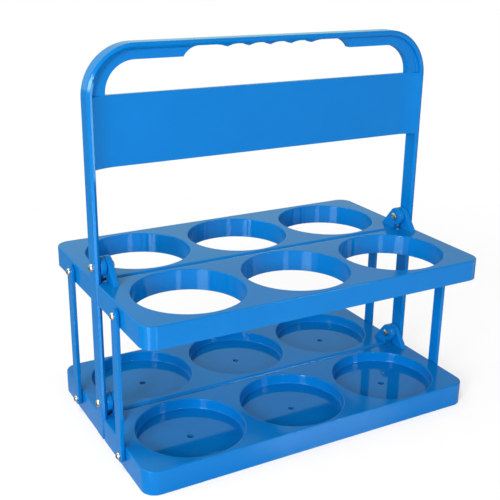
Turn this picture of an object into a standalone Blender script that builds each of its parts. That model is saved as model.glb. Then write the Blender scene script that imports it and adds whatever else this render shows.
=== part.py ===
"""Foldable bottle holder: a handle frame with four hinged half trays and four side links.

Metres, +Z up, +X to the right, -Y to the front. The origin is on the floor, under the
middle of the holder. Each half tray turns on the legs of the handle frame, and the links
keep an upper tray parallel to the lower tray below it, so both fold up beside the handle.
"""

import math

import bmesh
import bpy
from mathutils import Matrix, Vector

MM = 0.001

# Bottle rows
BOTTLES_PER_ROW = 3
HOLE_RADIUS = 45.0 * MM
HOLE_BRIDGE = 7.0 * MM
END_LAND = 13.5 * MM
UPPER_FRONT_LAND = 6.25 * MM
LOWER_FRONT_LAND = 2.6 * MM
CENTRE_LAND = 5.65 * MM
CENTRE_GAP = 1.2 * MM

# Tray mouldings
UPPER_SKIRT = 18.0 * MM
LOWER_SKIRT = 20.5 * MM
PLATE_THICKNESS = 2.2 * MM
WALL_THICKNESS = 2.2 * MM
TRAY_CORNER = 12.0 * MM
TRAY_EDGE_RADIUS = 1.2 * MM
CENTRE_EDGE_RADIUS = 3.2 * MM
HOLE_EDGE_RADIUS = 1.0 * MM
COLLAR_WALL = 2.0 * MM
CUP_DEPTH = 9.3 * MM
CUP_FLOOR = 2.0 * MM
CUP_FLOOR_RADIUS = 1.0 * MM
DRAIN_RADIUS = 2.8 * MM
RIB_THICKNESS = 1.6 * MM
RIB_HEIGHT = 8.5 * MM
END_RIB_OFFSET = 20.0 * MM

# Folding linkage
LINK_CENTRES = 120.0 * MM
LINK_PIVOT_DEPTH = 9.2 * MM
LINK_WIDTH = 11.0 * MM
LINK_THICKNESS = 3.4 * MM
LINK_EDGE_RADIUS = 0.7 * MM

# Hinge ears on the trays
EAR_RADIUS = 8.0 * MM
EAR_LIFT = 3.2 * MM
EAR_THICKNESS = 5.0 * MM
EAR_TOE = 19.5 * MM
EAR_HEEL = 2.5 * MM

# Handle frame
LEG_PROUD = 0.8 * MM
RIM_THICKNESS = 4.6 * MM
RIM_DEPTH = 16.0 * MM
RIM_EDGE_RADIUS = 1.1 * MM
FOOT_CLEARANCE = 1.0 * MM
BOW_RADIUS = 40.0 * MM
PANEL_RISE = 78.9 * MM
PANEL_HEIGHT = 54.8 * MM
PANEL_THICKNESS = 4.0 * MM
PANEL_SWEEP_LENGTH = 20.3 * MM
PANEL_SWEEP_DEPTH = 5.5 * MM
HAND_OPENING = 25.2 * MM
WEB_TOP = 8.1 * MM
WEB_SIDE = 11.2 * MM
WEB_DEPTH = 6.4 * MM
GRIP_SCALLOPS = 4
GRIP_PITCH = 19.4 * MM
GRIP_CUSP_DROP = 2.3 * MM
GRIP_SCALLOP_DEPTH = 2.0 * MM
GRIP_SHOULDER = 24.2 * MM
GRIP_RAMP = 14.0 * MM

# Hinge barrels and their screws
BARREL_RADIUS = 2.5 * MM
BARREL_WALL = 0.6 * MM
BARREL_HEAD_OVERHANG = 0.9 * MM
BARREL_HEAD_HEIGHT = 2.8 * MM
SCREW_LENGTH = 10.0 * MM
SCREW_TIP_CLEARANCE = 2.0 * MM
SCREW_HEAD_OVERHANG = 1.0 * MM
SCREW_HEAD_HEIGHT = 2.8 * MM
SCREW_HEAD_CROWN = 1.2 * MM
RECESS_SPAN = 3.6 * MM
RECESS_SLOT = 0.8 * MM
RECESS_DEPTH = 1.4 * MM

# Link rivets
RIVET_RADIUS = 2.0 * MM
RIVET_HEAD_OVERHANG = 1.2 * MM
RIVET_HEAD_HEIGHT = 2.4 * MM
RIVET_TAIL_OVERHANG = 0.9 * MM
RIVET_TAIL_THICKNESS = 0.9 * MM
RIVET_TAIL_BORE_RADIUS = 1.1 * MM
RIVET_TAIL_BORE_DEPTH = 2.0 * MM

# Clearances and the overrun of cuts and joins
RUN_CLEARANCE = 0.3 * MM
SIDE_CLEARANCE = 0.4 * MM
NOTCH_CLEARANCE = 0.5 * MM
OVERRUN = 1.0 * MM

# Facets
HOLE_SEGMENTS = 36
PIN_SEGMENTS = 12
DRAIN_SEGMENTS = 12
CORNER_SEGMENTS = 6
BOW_SEGMENTS = 10
EAR_SEGMENTS = 12
EDGE_SEGMENTS = 2
DOME_SEGMENTS = 3
SWEEP_SEGMENTS = 5
SCALLOP_SEGMENTS = 6

# Plan sizes that follow from the bottle rows
HOLE_PITCH = 2 * HOLE_RADIUS + HOLE_BRIDGE
TRAY_HALF_LENGTH = HOLE_PITCH * (BOTTLES_PER_ROW - 1) / 2 + HOLE_RADIUS + END_LAND
INNER_EDGE_Y = CENTRE_GAP / 2
ROW_Y = INNER_EDGE_Y + CENTRE_LAND + HOLE_RADIUS
UPPER_EDGE_Y = ROW_Y + HOLE_RADIUS + UPPER_FRONT_LAND
LOWER_EDGE_Y = ROW_Y + HOLE_RADIUS + LOWER_FRONT_LAND
HOLE_CENTRES_X = [(index - (BOTTLES_PER_ROW - 1) / 2) * HOLE_PITCH for index in range(BOTTLES_PER_ROW)]

# Sizes across the legs, from the outside inwards
LEG_OUTER_X = TRAY_HALF_LENGTH + LEG_PROUD
LEG_INNER_X = LEG_OUTER_X - RIM_THICKNESS
NOTCH_FLOOR_X = LEG_INNER_X - SIDE_CLEARANCE
NOTCH_HALF_WIDTH = RIM_DEPTH / 2 + NOTCH_CLEARANCE
OUTER_EAR_X = NOTCH_FLOOR_X
INNER_EAR_X = OUTER_EAR_X - EAR_THICKNESS - SIDE_CLEARANCE
EAR_STACK_X = INNER_EAR_X - EAR_THICKNESS
LINK_INNER_X = TRAY_HALF_LENGTH + SIDE_CLEARANCE
LINK_OUTER_X = LINK_INNER_X + LINK_THICKNESS
SCREW_SEAT_X = EAR_STACK_X - RUN_CLEARANCE
BARREL_END_X = SCREW_SEAT_X + RUN_CLEARANCE

# Radii of the fasteners and of the holes that they turn in
BARREL_HOLE_RADIUS = BARREL_RADIUS + RUN_CLEARANCE
BARREL_HEAD_RADIUS = BARREL_RADIUS + BARREL_HEAD_OVERHANG
BARREL_BORE_RADIUS = BARREL_RADIUS - BARREL_WALL
SCREW_RADIUS = BARREL_BORE_RADIUS - RUN_CLEARANCE
SCREW_HEAD_RADIUS = BARREL_RADIUS + SCREW_HEAD_OVERHANG
RIVET_HOLE_RADIUS = RIVET_RADIUS + RUN_CLEARANCE
RIVET_HEAD_RADIUS = RIVET_RADIUS + RIVET_HEAD_OVERHANG
RIVET_TAIL_RADIUS = RIVET_RADIUS + RIVET_TAIL_OVERHANG

# Heights above the floor
PIVOT_RISE = EAR_RADIUS + EAR_LIFT
LOWER_PIVOT_Z = LOWER_SKIRT + PIVOT_RISE
UPPER_PIVOT_Z = LOWER_PIVOT_Z + LINK_CENTRES
PANEL_BOTTOM_Z = UPPER_PIVOT_Z + PANEL_RISE
PANEL_TOP_Z = PANEL_BOTTOM_Z + PANEL_HEIGHT
WEB_UNDERSIDE_Z = PANEL_TOP_Z + HAND_OPENING
RIM_UNDERSIDE_Z = WEB_UNDERSIDE_Z + WEB_TOP
HANDLE_TOP_Z = RIM_UNDERSIDE_Z + RIM_THICKNESS

BLUE = (0.020, 0.225, 0.640, 1.0)
STEEL = (0.620, 0.620, 0.630, 1.0)
PLASTIC_ROUGHNESS = 0.22
STEEL_ROUGHNESS = 0.18
SHARP_ANGLE = math.radians(35.0)
HALF_TURN = math.pi
QUARTER_TURN = math.pi / 2


def clear_scene():
    """Removes every object that the scene starts with."""
    for item in list(bpy.data.objects):
        bpy.data.objects.remove(item, do_unlink=True)


def mesh_object(name, shape):
    """Turns a bmesh into a named object at the origin and frees the bmesh."""
    bmesh.ops.recalc_face_normals(shape, faces=shape.faces)
    mesh = bpy.data.meshes.new(name)
    shape.to_mesh(mesh)
    shape.free()
    item = bpy.data.objects.new(name, mesh)
    bpy.context.scene.collection.objects.link(item)
    return item


def loft(name, rings):
    """Joins closed rings of equal length into one solid with flat ends."""
    shape = bmesh.new()
    loops = [[shape.verts.new(point) for point in ring] for ring in rings]
    for lower, upper in zip(loops, loops[1:]):
        for index in range(len(lower)):
            after = (index + 1) % len(lower)
            shape.faces.new((lower[index], lower[after], upper[after], upper[index]))
    shape.faces.new(loops[0])
    shape.faces.new(loops[-1])
    return mesh_object(name, shape)


def turned(name, profile, segments):
    """Turns a profile of (distance along X, radius) pairs about the X axis.

    An end of the profile that is off the axis is closed by a flat face.
    """
    shape = bmesh.new()
    loops = []
    for along, radius in profile:
        if radius == 0:
            loops.append([shape.verts.new((along, 0, 0))])
            continue
        angles = [2 * math.pi * step / segments for step in range(segments)]
        ring = [(along, radius * math.cos(angle), radius * math.sin(angle)) for angle in angles]
        loops.append([shape.verts.new(point) for point in ring])
    for lower, upper in zip(loops, loops[1:]):
        for index in range(segments):
            after = (index + 1) % segments
            corners = [lower[index % len(lower)], lower[after % len(lower)]]
            corners += [upper[after % len(upper)], upper[index % len(upper)]]
            shape.faces.new(list(dict.fromkeys(corners)))
    for end in (loops[0], loops[-1]):
        if len(end) > 1:
            shape.faces.new(end)
    return mesh_object(name, shape)


def block(name, low, high):
    """Makes a box between two corners."""
    shape = bmesh.new()
    size = Vector(high) - Vector(low)
    middle = (Vector(high) + Vector(low)) / 2
    place = Matrix.Translation(middle) @ Matrix.Diagonal((*size, 1.0))
    bmesh.ops.create_cube(shape, size=1.0, matrix=place)
    return mesh_object(name, shape)


def turn_mesh(item, matrix):
    """Moves an object's mesh, and leaves the object itself at the origin."""
    item.data.transform(matrix)
    return item


def upright(name, profile, segments, x, y):
    """Turns a profile of (height, radius) pairs about a vertical axis at x, y."""
    item = turned(name, profile, segments)
    turn_mesh(item, Matrix.Rotation(-QUARTER_TURN, 4, "Y"))
    return turn_mesh(item, Matrix.Translation((x, y, 0)))


def combine(base, tools, operation):
    """Adds, or cuts away, each tool from the base and removes the tools."""
    for tool in tools:
        modifier = base.modifiers.new(operation.lower(), "BOOLEAN")
        modifier.operation = operation
        modifier.solver = "EXACT"
        modifier.object = tool
    depsgraph = bpy.context.evaluated_depsgraph_get()
    mesh = bpy.data.meshes.new_from_object(base.evaluated_get(depsgraph))
    base.modifiers.clear()
    plain = base.data
    base.data = mesh
    bpy.data.meshes.remove(plain)
    for tool in tools:
        bpy.data.meshes.remove(tool.data)
    return base


def arc(centre, radius, start, end, segments):
    """Points of an arc in a plane, from one angle to the other, ends included."""
    points = []
    for step in range(segments + 1):
        angle = start + (end - start) * step / segments
        points.append((centre[0] + radius * math.cos(angle), centre[1] + radius * math.sin(angle)))
    return points


def mirrored(points):
    """The same points with the sign of the first coordinate changed, in reverse order."""
    return [(-point[0], point[1]) for point in reversed(points)]


def fillet_inset(radius, depth):
    """How far a rounded top edge lies inside its side, at a depth below the top."""
    rest = max(radius - depth, 0)
    return radius - math.sqrt(radius ** 2 - rest ** 2)


def edge_steps(radius):
    """Pairs of (inset, setback) that round an edge, from its face to its side."""
    steps = []
    for index in range(EDGE_SEGMENTS + 1):
        angle = QUARTER_TURN * index / EDGE_SEGMENTS
        steps.append((radius * (1 - math.sin(angle)), radius * (1 - math.cos(angle))))
    return steps


# Half trays, in a frame whose X axis is the hinge axis


def tray_ring(height, edge_y, side, notch, centre):
    """Plan outline of the front half tray at a height, with its front edge at edge_y.

    The outline is pulled in by three amounts: at its sides, at the floors of the notches
    for the legs, and at the edge along the middle of the holder.
    """
    corner = TRAY_CORNER - side
    half_length = TRAY_HALF_LENGTH - side
    arc_centre = (half_length - corner, side - edge_y + corner)
    notch_x = NOTCH_FLOOR_X - notch
    notch_y = -NOTCH_HALF_WIDTH - side
    right = arc(arc_centre, corner, -QUARTER_TURN, 0, CORNER_SEGMENTS)
    right += [(half_length, notch_y), (notch_x, notch_y), (notch_x, -INNER_EDGE_Y - centre)]
    return [(x, y, height) for x, y in right + mirrored(right)]


def tray_shell(name, skirt, edge_y):
    """Flat top and skirt of a half tray, open below."""
    top = -PIVOT_RISE
    bottom = top - skirt
    rings = []
    for inset, depth in edge_steps(max(TRAY_EDGE_RADIUS, CENTRE_EDGE_RADIUS)):
        side = fillet_inset(TRAY_EDGE_RADIUS, depth)
        centre = fillet_inset(CENTRE_EDGE_RADIUS, depth)
        rings.append(tray_ring(top - depth, edge_y, side, 0, centre))
    shell = loft(name, rings + [tray_ring(bottom, edge_y, 0, 0, 0)])
    walls = (WALL_THICKNESS, WALL_THICKNESS, WALL_THICKNESS)
    heights = (top - PLATE_THICKNESS, bottom - OVERRUN)
    hollow = loft("hollow", [tray_ring(height, edge_y, *walls) for height in heights])
    return combine(shell, [hollow], "DIFFERENCE")


def extended(start, end, height):
    """The point where the line from start through end reaches a height."""
    part = (height - start[1]) / (end[1] - start[1])
    return (start[0] + (end[0] - start[0]) * part, height)


def hole_edge_profile(top):
    """Upper end of a bottle hole's cutter, down its rounded edge to the hole's straight wall.

    The first facet of the rounded edge runs on above the plate, by its own height.
    """
    edge = [(HOLE_RADIUS + inset, top - setback) for inset, setback in edge_steps(HOLE_EDGE_RADIUS)]
    facet_height = edge[0][1] - edge[1][1]
    edge[0] = extended(edge[1], edge[0], top + facet_height)
    return [(height, radius) for radius, height in edge]


def collar(x, bottom):
    """Solid round boss that a bottle hole is cut through."""
    top = -PIVOT_RISE - PLATE_THICKNESS / 2
    radius = HOLE_RADIUS + COLLAR_WALL
    profile = [(top, radius), (bottom, radius)]
    return upright("collar", profile, HOLE_SEGMENTS, x, -ROW_Y)


def through_hole(x, skirt):
    """Cutter of one upper bottle hole, with a rounded edge at the top."""
    bottom = -PIVOT_RISE - skirt - OVERRUN
    profile = hole_edge_profile(-PIVOT_RISE) + [(bottom, HOLE_RADIUS)]
    return upright("hole", profile, HOLE_SEGMENTS, x, -ROW_Y)


def cup_hole(x):
    """Cutter of one lower cup, with a rounded edge above and a rounded floor edge."""
    floor = -PIVOT_RISE - CUP_DEPTH
    profile = hole_edge_profile(-PIVOT_RISE)
    for inset, setback in reversed(edge_steps(CUP_FLOOR_RADIUS)):
        profile.append((floor + setback, HOLE_RADIUS - inset))
    return upright("cup", profile, HOLE_SEGMENTS, x, -ROW_Y)


def drain_hole(x):
    """Cutter of the drain in the middle of a cup's floor."""
    top = -PIVOT_RISE - CUP_DEPTH + OVERRUN
    bottom = -PIVOT_RISE - CUP_DEPTH - CUP_FLOOR - OVERRUN
    profile = [(top, DRAIN_RADIUS), (bottom, DRAIN_RADIUS)]
    return upright("drain", profile, DRAIN_SEGMENTS, x, -ROW_Y)


def rib(low_x, high_x, low_y, high_y):
    """Stiffening rib that hangs from the top plate."""
    top = -PIVOT_RISE - PLATE_THICKNESS / 2
    bottom = -PIVOT_RISE - PLATE_THICKNESS - RIB_HEIGHT
    return block("rib", (low_x, low_y, bottom), (high_x, high_y, top))


def tray_ribs(edge_y):
    """Ribs between the collars, and from the end collars to the end walls."""
    half = RIB_THICKNESS / 2
    wall_middle = WALL_THICKNESS / 2
    ribs = []
    for left in HOLE_CENTRES_X[:-1]:
        middle = left + HOLE_PITCH / 2
        reach = HOLE_BRIDGE / 2 - COLLAR_WALL / 2
        ribs.append(rib(middle - half, middle + half, wall_middle - edge_y, -INNER_EDGE_Y - wall_middle))
        ribs.append(rib(middle - reach, middle + reach, -ROW_Y - half, half - ROW_Y))
    end = TRAY_HALF_LENGTH - wall_middle
    collar_middle = HOLE_RADIUS + COLLAR_WALL / 2
    start = HOLE_CENTRES_X[-1] + math.sqrt(collar_middle ** 2 - END_RIB_OFFSET ** 2)
    for offset in (-END_RIB_OFFSET, END_RIB_OFFSET):
        y = offset - ROW_Y
        ribs.append(rib(start, end, y - half, y + half))
        ribs.append(rib(-end, -start, y - half, y + half))
    return ribs


def ear(outer_x):
    """Hinge ear of the front tray, standing on its top plate, with its gusset to the front."""
    root = -PIVOT_RISE - PLATE_THICKNESS / 2
    toe = (-EAR_TOE, -PIVOT_RISE)
    toe_distance = math.hypot(*toe)
    toe_angle = math.atan2(toe[1], toe[0])
    start = (toe_angle - math.acos(EAR_RADIUS / toe_distance)) % (2 * math.pi)
    heel = -math.acos(-EAR_HEEL / EAR_RADIUS)
    tangent_point = (EAR_RADIUS * math.cos(start), EAR_RADIUS * math.sin(start))
    outline = [(-EAR_HEEL, root), extended(tangent_point, toe, root)]
    outline += arc((0, 0), EAR_RADIUS, start, heel, EAR_SEGMENTS)
    sides = (outer_x - EAR_THICKNESS, outer_x)
    return loft("ear", [[(x, y, z) for y, z in outline] for x in sides])


def cross_hole(radius, low_x, high_x, y, z):
    """Cutter of a round hole along X."""
    profile = [(low_x, radius), (high_x, radius)]
    item = turned("cross_hole", profile, PIN_SEGMENTS)
    return turn_mesh(item, Matrix.Translation((0, y, z)))


def hinge_holes(low_x, high_x, z):
    """A pair of hinge holes, one on each end of the holder."""
    spans = ((low_x, high_x), (-high_x, -low_x))
    return [cross_hole(BARREL_HOLE_RADIUS, start, end, 0, z) for start, end in spans]


def rivet_holes():
    """Rivet holes through the end walls of a half tray."""
    low_x = TRAY_HALF_LENGTH - WALL_THICKNESS - OVERRUN
    high_x = TRAY_HALF_LENGTH + OVERRUN
    z = -PIVOT_RISE - LINK_PIVOT_DEPTH
    spans = ((low_x, high_x), (-high_x, -low_x))
    return [cross_hole(RIVET_HOLE_RADIUS, start, end, -ROW_Y, z) for start, end in spans]


def half_tray(name, skirt, edge_y, has_cups):
    """Front half tray. Its left ear is the inner one of the pair and its right ear the outer one."""
    tray = tray_shell(name, skirt, edge_y)
    collar_bottom = -PIVOT_RISE - (CUP_DEPTH + CUP_FLOOR if has_cups else skirt)
    added = [collar(x, collar_bottom) for x in HOLE_CENTRES_X] + tray_ribs(edge_y)
    added += [ear(OUTER_EAR_X), ear(EAR_THICKNESS - INNER_EAR_X)]
    combine(tray, added, "UNION")
    if has_cups:
        cuts = [cup_hole(x) for x in HOLE_CENTRES_X] + [drain_hole(x) for x in HOLE_CENTRES_X]
    else:
        cuts = [through_hole(x, skirt) for x in HOLE_CENTRES_X]
    cuts += hinge_holes(EAR_STACK_X - OVERRUN, OUTER_EAR_X + OVERRUN, 0) + rivet_holes()
    return combine(tray, cuts, "DIFFERENCE")


# Handle frame


def bow_path(inset, foot):
    """The bow's line in the X-Z plane, from the left foot over the top to the right foot."""
    radius = BOW_RADIUS - inset
    centre = (LEG_OUTER_X - BOW_RADIUS, HANDLE_TOP_Z - BOW_RADIUS)
    right = arc(centre, radius, QUARTER_TURN, 0, BOW_SEGMENTS) + [(LEG_OUTER_X - inset, foot)]
    return mirrored(right) + right


def rim_band(inset):
    """Closed outline of the rim and the legs, pulled in by the inset."""
    foot = FOOT_CLEARANCE + inset
    return bow_path(inset, foot) + list(reversed(bow_path(RIM_THICKNESS - inset, foot)))


def bow_rim():
    """Deep outer rim of the bow, which runs down as the two legs."""
    half = RIM_DEPTH / 2
    front = [(inset, setback - half) for inset, setback in edge_steps(RIM_EDGE_RADIUS)]
    stations = front + [(inset, -y) for inset, y in reversed(front)]
    return loft("handle_frame", [[(x, y, z) for x, z in rim_band(inset)] for inset, y in stations])


def grip_edge():
    """Right half of the web's wavy lower edge, from the middle of the grip outwards."""
    cusp_z = RIM_UNDERSIDE_Z - GRIP_CUSP_DROP
    last_cusp = GRIP_SCALLOPS * GRIP_PITCH / 2
    shoulder_z = cusp_z + GRIP_SCALLOP_DEPTH
    points = []
    for step in range(GRIP_SCALLOPS * SCALLOP_SEGMENTS // 2 + 1):
        x = step * GRIP_PITCH / SCALLOP_SEGMENTS
        phase = (last_cusp - x) / GRIP_PITCH * math.pi
        points.append((x, cusp_z + GRIP_SCALLOP_DEPTH * abs(math.sin(phase))))
    for step in range(1, SCALLOP_SEGMENTS + 1):
        part = step / SCALLOP_SEGMENTS
        rise = GRIP_SCALLOP_DEPTH * math.sin(min(part * 2, 1) * QUARTER_TURN)
        points.append((last_cusp + GRIP_SHOULDER * part, cusp_z + rise))
    for step in range(1, SCALLOP_SEGMENTS + 1):
        part = step / SCALLOP_SEGMENTS
        drop = (shoulder_z - WEB_UNDERSIDE_Z) * (1 - math.cos(part * math.pi)) / 2
        points.append((last_cusp + GRIP_SHOULDER + GRIP_RAMP * part, shoulder_z - drop))
    return points


def bow_web():
    """Thinner web inside the rim, with the hand opening's outline and the finger grip."""
    root = PANEL_TOP_Z - OVERRUN
    outer = [(x, z) for x, z in bow_path(RIM_THICKNESS / 2, root) if z >= root]
    side_x = LEG_INNER_X - WEB_SIDE
    corner = min(BOW_RADIUS - RIM_THICKNESS - WEB_SIDE, HAND_OPENING)
    centre = (side_x - corner, WEB_UNDERSIDE_Z - corner)
    corner_arc = arc(centre, corner, QUARTER_TURN, 0, CORNER_SEGMENTS)
    right = grip_edge() + corner_arc + [(side_x, root)]
    inner = list(reversed(right)) + [(-x, z) for x, z in right[1:]]
    outline = outer + inner
    half = WEB_DEPTH / 2
    return loft("web", [[(x, y, z) for x, z in outline] for y in (-half, half)])


def panel():
    """Flat panel between the legs, whose ends sweep out to the edges of the rim, inside it."""
    half = PANEL_THICKNESS / 2
    end_x = LEG_INNER_X + RIM_THICKNESS / 2
    sweep_start = end_x - PANEL_SWEEP_LENGTH
    edge = []
    for step in range(SWEEP_SEGMENTS + 1):
        part = step / SWEEP_SEGMENTS
        y = half + PANEL_SWEEP_DEPTH * part ** 2
        edge.append((sweep_start + PANEL_SWEEP_LENGTH * part, y))
    back = mirrored(edge) + edge
    front = [(x, -y) for x, y in reversed(back)]
    outline = back + front
    return loft("panel", [[(x, y, z) for x, y in outline] for z in (PANEL_BOTTOM_Z, PANEL_TOP_Z)])


def handle_frame():
    """One moulding: legs, bow, grip and panel, with the four hinge holes."""
    frame = combine(bow_rim(), [bow_web(), panel()], "UNION")
    holes = []
    for z in (LOWER_PIVOT_Z, UPPER_PIVOT_Z):
        holes += hinge_holes(LEG_INNER_X - OVERRUN, LEG_OUTER_X + OVERRUN, z)
    return combine(frame, holes, "DIFFERENCE")


# Links, pins and rivets, made for the left end with +X towards the middle


def dome(tip, height, radius):
    """Profile of a domed head from its tip to its rim, along +X."""
    ball = (radius ** 2 + height ** 2) / (2 * height)
    reach = math.acos((ball - height) / ball)
    profile = []
    for step in range(DOME_SEGMENTS + 1):
        angle = reach * step / DOME_SEGMENTS
        profile.append((tip + ball * (1 - math.cos(angle)), ball * math.sin(angle)))
    return profile


def link(name):
    """Side link, hanging from its upper pivot, with rounded ends and edges."""
    def ring(inset, x):
        radius = LINK_WIDTH / 2 - inset
        top = arc((0, 0), radius, 0, HALF_TURN, CORNER_SEGMENTS)
        bottom = arc((0, -LINK_CENTRES), radius, HALF_TURN, 2 * HALF_TURN, CORNER_SEGMENTS)
        return [(x, y, z) for y, z in top + bottom]

    steps = edge_steps(LINK_EDGE_RADIUS)
    outer = [ring(inset, setback - LINK_OUTER_X) for inset, setback in steps]
    inner = [ring(inset, -LINK_INNER_X - setback) for inset, setback in reversed(steps)]
    bar = loft(name, outer + inner)
    span = (-LINK_OUTER_X - OVERRUN, OVERRUN - LINK_INNER_X)
    holes = [cross_hole(RIVET_HOLE_RADIUS, *span, 0, z) for z in (0, -LINK_CENTRES)]
    return combine(bar, holes, "DIFFERENCE")


def hinge_barrel(name):
    """Domed barrel through the leg and both ears, with a blind bore from the inside."""
    seat = -LEG_OUTER_X - RUN_CLEARANCE
    end = -BARREL_END_X
    bore_bottom = -SCREW_SEAT_X - SCREW_LENGTH - SCREW_TIP_CLEARANCE
    profile = dome(seat - BARREL_HEAD_HEIGHT, BARREL_HEAD_HEIGHT, BARREL_HEAD_RADIUS)
    profile += [(seat, BARREL_RADIUS), (end, BARREL_RADIUS), (end, BARREL_BORE_RADIUS)]
    profile.append((bore_bottom, BARREL_BORE_RADIUS))
    return turned(name, profile, PIN_SEGMENTS)


def hinge_screw(name):
    """Cross-recessed screw that closes the barrel from the inside."""
    seat = -SCREW_SEAT_X
    rim = seat + SCREW_HEAD_HEIGHT - SCREW_HEAD_CROWN
    tip = seat + SCREW_HEAD_HEIGHT
    crown = dome(0, SCREW_HEAD_CROWN, SCREW_HEAD_RADIUS)
    profile = [(seat - SCREW_LENGTH, SCREW_RADIUS), (seat, SCREW_RADIUS)]
    profile += [(seat, SCREW_HEAD_RADIUS), (rim, SCREW_HEAD_RADIUS)]
    profile += [(tip - along, radius) for along, radius in reversed(crown[:-1])]
    screw = turned(name, profile, PIN_SEGMENTS)
    half_span = RECESS_SPAN / 2
    half_slot = RECESS_SLOT / 2
    bottom = tip - RECESS_DEPTH
    top = tip + OVERRUN
    slots = [block("slot", (bottom, -half_span, -half_slot), (top, half_span, half_slot))]
    slots.append(block("slot", (bottom, -half_slot, -half_span), (top, half_slot, half_span)))
    return combine(screw, slots, "DIFFERENCE")


def rivet(name):
    """Domed rivet through a link and a tray's end wall, with a flared hollow tail inside."""
    seat = -LINK_OUTER_X - RUN_CLEARANCE
    wall_inside = WALL_THICKNESS - TRAY_HALF_LENGTH
    tail = wall_inside + RUN_CLEARANCE
    end = tail + RIVET_TAIL_THICKNESS
    profile = dome(seat - RIVET_HEAD_HEIGHT, RIVET_HEAD_HEIGHT, RIVET_HEAD_RADIUS)
    profile += [(seat, RIVET_RADIUS), (tail, RIVET_RADIUS), (tail, RIVET_TAIL_RADIUS)]
    profile += [(end, RIVET_TAIL_RADIUS), (end, RIVET_TAIL_BORE_RADIUS)]
    profile.append((end - RIVET_TAIL_BORE_DEPTH, RIVET_TAIL_BORE_RADIUS))
    return turned(name, profile, PIN_SEGMENTS)


# Assembly


def material(name, colour, roughness, metallic):
    """Principled material of one sub-part."""
    finish = bpy.data.materials.new(name)
    finish.use_nodes = True
    shader = finish.node_tree.nodes["Principled BSDF"]
    shader.inputs["Base Color"].default_value = colour
    shader.inputs["Roughness"].default_value = roughness
    shader.inputs["Metallic"].default_value = metallic
    finish.diffuse_color = colour
    return finish


def dress(item, finish):
    """Gives an object its material and smooth shading between sharp edges."""
    item.data.materials.clear()
    item.data.materials.append(finish)
    item.data.shade_smooth()
    item.data.set_sharp_from_angle(angle=SHARP_ANGLE)


def copy_of(item, name):
    """A second object with its own copy of the mesh."""
    twin = bpy.data.objects.new(name, item.data.copy())
    bpy.context.scene.collection.objects.link(twin)
    return twin


def place(item, location, turned_round, colour, roughness, metallic):
    """Puts a piece on its axis, turned half round about Z for the far side, and dresses it."""
    item.location = location
    item.rotation_euler = (0, 0, HALF_TURN if turned_round else 0)
    dress(item, material(item.name + "_material", colour, roughness, metallic))


def place_plastic(item, location, turned_round):
    """Places a glossy blue moulding."""
    place(item, location, turned_round, BLUE, PLASTIC_ROUGHNESS, 0)


def place_steel(item, location, turned_round):
    """Places a polished steel fastener."""
    place(item, location, turned_round, STEEL, STEEL_ROUGHNESS, 1)


def build_trays():
    """Four half trays: one mould per level, used twice."""
    levels = (
        ("upper", UPPER_SKIRT, UPPER_EDGE_Y, False, UPPER_PIVOT_Z),
        ("lower", LOWER_SKIRT, LOWER_EDGE_Y, True, LOWER_PIVOT_Z),
    )
    for level, skirt, edge_y, has_cups, pivot_z in levels:
        front = half_tray(level + "_front_tray", skirt, edge_y, has_cups)
        back = copy_of(front, level + "_back_tray")
        place_plastic(front, (0, 0, pivot_z), False)
        place_plastic(back, (0, 0, pivot_z), True)


def build_links():
    """Four links, each with its origin on its upper pivot."""
    first = link("front_left_link")
    pieces = [(first, -ROW_Y, False)]
    pieces.append((copy_of(first, "front_right_link"), -ROW_Y, True))
    pieces.append((copy_of(first, "back_left_link"), ROW_Y, False))
    pieces.append((copy_of(first, "back_right_link"), ROW_Y, True))
    pivot_z = UPPER_PIVOT_Z - PIVOT_RISE - LINK_PIVOT_DEPTH
    for item, y, turned_round in pieces:
        place_plastic(item, (0, y, pivot_z), turned_round)


def build_hinges():
    """A barrel and a screw at each end of both hinge axes."""
    first_barrel = hinge_barrel("barrel")
    first_screw = hinge_screw("screw")
    for level, z in (("upper", UPPER_PIVOT_Z), ("lower", LOWER_PIVOT_Z)):
        for side, turned_round in (("left", False), ("right", True)):
            barrel = copy_of(first_barrel, level + "_" + side + "_hinge_barrel")
            screw = copy_of(first_screw, level + "_" + side + "_hinge_screw")
            place_steel(barrel, (0, 0, z), turned_round)
            place_steel(screw, (0, 0, z), turned_round)
    bpy.data.objects.remove(first_barrel, do_unlink=True)
    bpy.data.objects.remove(first_screw, do_unlink=True)


def build_rivets():
    """A rivet at both ends of every link."""
    first = rivet("rivet")
    depth = PIVOT_RISE + LINK_PIVOT_DEPTH
    for level, pivot_z in (("upper", UPPER_PIVOT_Z), ("lower", LOWER_PIVOT_Z)):
        for row, y in (("front", -ROW_Y), ("back", ROW_Y)):
            for side, turned_round in (("left", False), ("right", True)):
                item = copy_of(first, "_".join((level, row, side, "rivet")))
                place_steel(item, (0, y, pivot_z - depth), turned_round)
    bpy.data.objects.remove(first, do_unlink=True)


def main():
    """Builds the whole holder in its open position."""
    clear_scene()
    place_plastic(handle_frame(), (0, 0, 0), False)
    build_trays()
    build_links()
    build_hinges()
    build_rivets()


main()
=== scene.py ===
"""Looks of the foldable bottle holder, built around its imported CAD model.

Every moulding and fastener is modelled again with finer edges, dressed with a procedural
material and set on the CAD body that carries it. Metres, +Z up, the front towards -Y.
"""

import logging
import math
from collections.abc import Callable, Iterator, Sequence
from contextlib import contextmanager
from dataclasses import dataclass
from enum import Enum

import bmesh
import bpy
from mathutils import Matrix, Vector


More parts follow.
